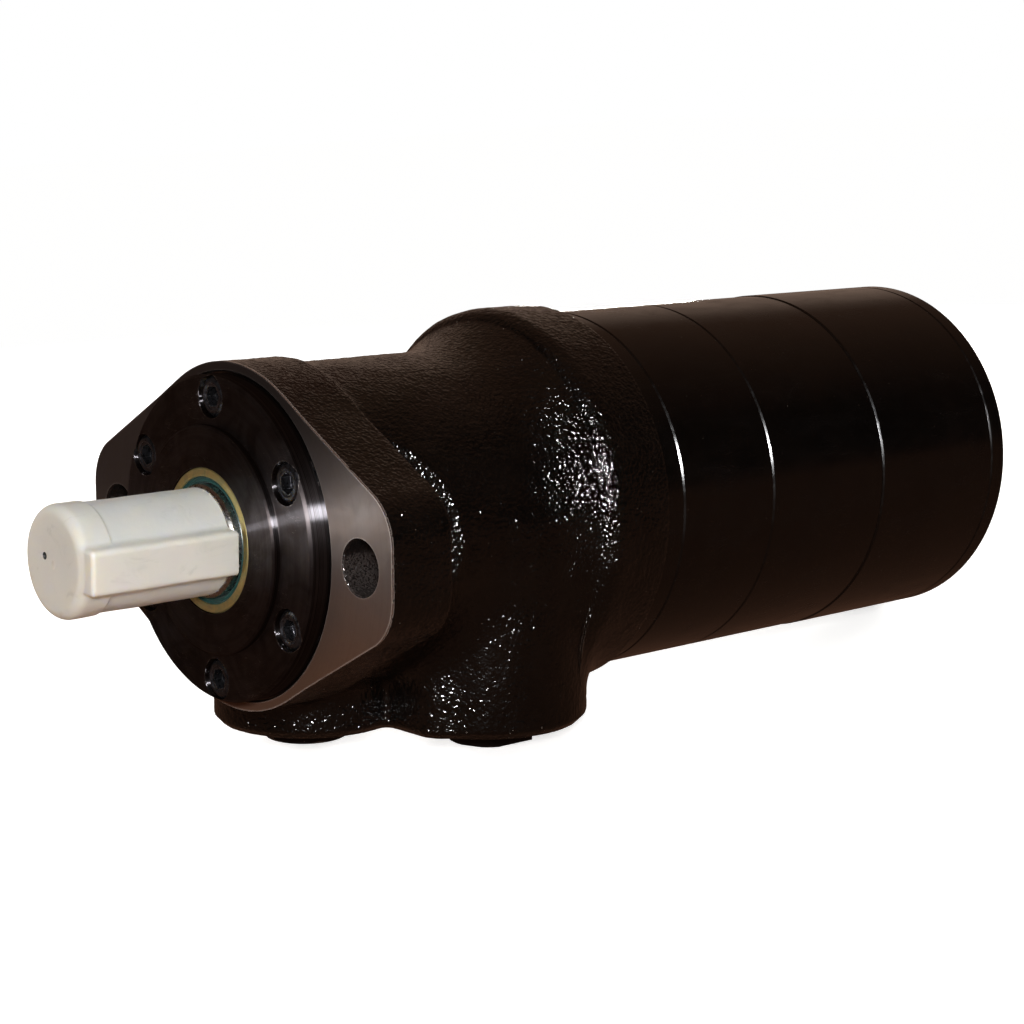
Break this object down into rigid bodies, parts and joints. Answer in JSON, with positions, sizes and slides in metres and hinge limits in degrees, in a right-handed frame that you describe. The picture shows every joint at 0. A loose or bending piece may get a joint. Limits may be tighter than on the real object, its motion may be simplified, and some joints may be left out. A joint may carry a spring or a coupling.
{
  "type": "hydraulic motor",
  "caption": "Orbital gerotor hydraulic motor with an oval two-bolt flange, keyed capped shaft, bottom port pad and a rear spring-applied brake.",
  "frame": {"origin": "centre of the flange mounting face, on the shaft axis", "axes": "+Y along the shaft axis towards the rear cover, shaft end towards -Y, mounting lugs along X, port pad facing -Z"},
  "size_m": [0.1304, 0.3008, 0.1127],
  "materials": {
    "cast_black": "glossy black enamel over a rough casting, satin on machined faces",
    "smooth_black": "smooth glossy black enamel",
    "machined_black": "turned steel, blackened and oily",
    "black_oxide": "black oxide, slightly oily",
    "steel": "turned and ground",
    "dark_steel": "hardened, dull",
    "bright_steel": "ground and polished",
    "bronze": "bearing bronze",
    "zinc_yellow": "yellow zinc passivated",
    "zinc_steel": "zinc plated",
    "copper": "annealed copper",
    "black_rubber": "matt",
    "green_rubber": "dark teal nitrile",
    "white_plastic": "translucent white polyethylene",
    "black_plastic": "moulded, satin",
    "friction": "sintered lining"
  },
  "bodies": {
    "motor_body": {"motor_housing": "cast_black", "front_cover": "machined_black", "front_cover_screws": "black_oxide", "front_cover_oring": "black_rubber", "seal_case": "zinc_yellow", "seal_lip": "green_rubber", "seal_garter_spring": "bright_steel", "radial_bearing_cup": "steel", "thrust_race_front": "steel", "check_valve_springs": "bright_steel", "check_valve_plugs": "dark_steel", "port_plugs": "black_plastic", "port_plug_seals": "black_rubber", "drain_plug": "zinc_steel", "drain_plug_washer": "copper", "distributor_plate": "smooth_black", "section_orings": "black_rubber", "gerotor_ring": "smooth_black", "brake_housing": "smooth_black", "brake_front_bush": "bronze", "brake_shaft_seal": "black_rubber", "brake_rear_bush": "bronze", "brake_steel_plates": "steel", "brake_springs": "bright_steel", "brake_cylinder": "smooth_black", "brake_release_plug": "zinc_steel", "brake_release_washer": "copper", "rear_cover": "smooth_black", "rear_cover_oring": "black_rubber", "tie_bolts": "black_oxide"},
    "shaft": {"output_shaft": "steel", "shaft_key": "bright_steel", "thrust_race_rear": "steel"},
    "cap": {"shaft_cap": "white_plastic"},
    "radial_cage": {"radial_bearing_cage": "bronze", "radial_bearing_needles": "bright_steel"},
    "thrust_cage": {"thrust_bearing_cage": "bronze", "thrust_bearing_needles": "bright_steel"},
    "link": {"drive_link": "dark_steel"},
    "brake_crank": {"brake_shaft": "dark_steel", "brake_friction_discs": "friction"},
    "rotor": {"gerotor_rotor": "steel", "rotor_bush": "bronze"},
    "brake_piston": {"brake_piston": "steel", "brake_piston_seals": "black_rubber"},
    "check_ball_front": {"check_ball_front": "bright_steel"},
    "check_ball_rear": {"check_ball_rear": "bright_steel"},
    "roller_1": {"gerotor_roller_1": "bright_steel"},
    "roller_2": {"gerotor_roller_2": "bright_steel"},
    "roller_3": {"gerotor_roller_3": "bright_steel"},
    "roller_4": {"gerotor_roller_4": "bright_steel"},
    "roller_5": {"gerotor_roller_5": "bright_steel"},
    "roller_6": {"gerotor_roller_6": "bright_steel"},
    "roller_7": {"gerotor_roller_7": "bright_steel"}
  },
  "joints": [
    {"name": "shaft_spin", "type": "hinge", "parent": "motor_body", "child": "shaft", "pos_m": [0, 0.03, 0], "axis": [0, 1, 0], "continuous": true},
    {"name": "brake_shaft_spin", "type": "hinge", "parent": "motor_body", "child": "brake_crank", "pos_m": [0, 0.1536, 0], "axis": [0, 1, 0], "continuous": true},
    {"name": "rotor_spin", "type": "hinge", "parent": "brake_crank", "child": "rotor", "pos_m": [0.00195, 0.1376, 0.00179], "axis": [0, 1, 0], "continuous": true},
    {"name": "link_spin", "type": "hinge", "parent": "brake_crank", "child": "link", "pos_m": [0, 0.054, 0], "axis": [0.0299, 0.9992, 0.0275], "continuous": true},
    {"name": "radial_cage_spin", "type": "hinge", "parent": "motor_body", "child": "radial_cage", "pos_m": [0, 0.004, 0], "axis": [0, 1, 0], "continuous": true},
    {"name": "thrust_cage_spin", "type": "hinge", "parent": "motor_body", "child": "thrust_cage", "pos_m": [0, 0.01025, 0], "axis": [0, 1, 0], "continuous": true},
    {"name": "roller_1_spin", "type": "hinge", "parent": "motor_body", "child": "roller_1", "pos_m": [0.02357, 0.1281, 0.02165], "axis": [0, 1, 0], "continuous": true},
    {"name": "roller_2_spin", "type": "hinge", "parent": "motor_body", "child": "roller_2", "pos_m": [-0.00223, 0.1281, 0.03192], "axis": [0, 1, 0], "continuous": true},
    {"name": "roller_3_spin", "type": "hinge", "parent": "motor_body", "child": "roller_3", "pos_m": [-0.02635, 0.1281, 0.01816], "axis": [0, 1, 0], "continuous": true},
    {"name": "roller_4_spin", "type": "hinge", "parent": "motor_body", "child": "roller_4", "pos_m": [-0.03062, 0.1281, -0.00928], "axis": [0, 1, 0], "continuous": true},
    {"name": "roller_5_spin", "type": "hinge", "parent": "motor_body", "child": "roller_5", "pos_m": [-0.01184, 0.1281, -0.02973], "axis": [0, 1, 0], "continuous": true},
    {"name": "roller_6_spin", "type": "hinge", "parent": "motor_body", "child": "roller_6", "pos_m": [0.01586, 0.1281, -0.02779], "axis": [0, 1, 0], "continuous": true},
    {"name": "roller_7_spin", "type": "hinge", "parent": "motor_body", "child": "roller_7", "pos_m": [0.03162, 0.1281, -0.00493], "axis": [0, 1, 0], "continuous": true},
    {"name": "shaft_cap_off", "type": "slide", "parent": "shaft", "child": "cap", "axis": [0, -1, 0], "range_m": [0, 0.06]},
    {"name": "brake_release", "type": "slide", "parent": "motor_body", "child": "brake_piston", "axis": [0, 1, 0], "range_m": [0, 0.0015], "stiffness_N_per_m": 200000, "springref_m": -0.004, "deforming": ["brake_springs"]},
    {"name": "check_ball_front_lift", "type": "slide", "parent": "motor_body", "child": "check_ball_front", "axis": [0, 1, 0], "range_m": [0, 0.001], "stiffness_N_per_m": 300, "springref_m": -0.001, "deforming": ["check_valve_springs"]},
    {"name": "check_ball_rear_lift", "type": "slide", "parent": "motor_body", "child": "check_ball_rear", "axis": [0, 1, 0], "range_m": [0, 0.001], "stiffness_N_per_m": 300, "springref_m": -0.001, "deforming": ["check_valve_springs"]}
  ],
  "couplings": [
    {"joint": "brake_shaft_spin", "follows": "shaft_spin", "ratio": -6},
    {"joint": "rotor_spin", "follows": "shaft_spin", "ratio": 7},
    {"joint": "link_spin", "follows": "shaft_spin", "ratio": 7},
    {"joint": "radial_cage_spin", "follows": "shaft_spin", "ratio": 0.4612},
    {"joint": "thrust_cage_spin", "follows": "shaft_spin", "ratio": 0.5}
  ]
}
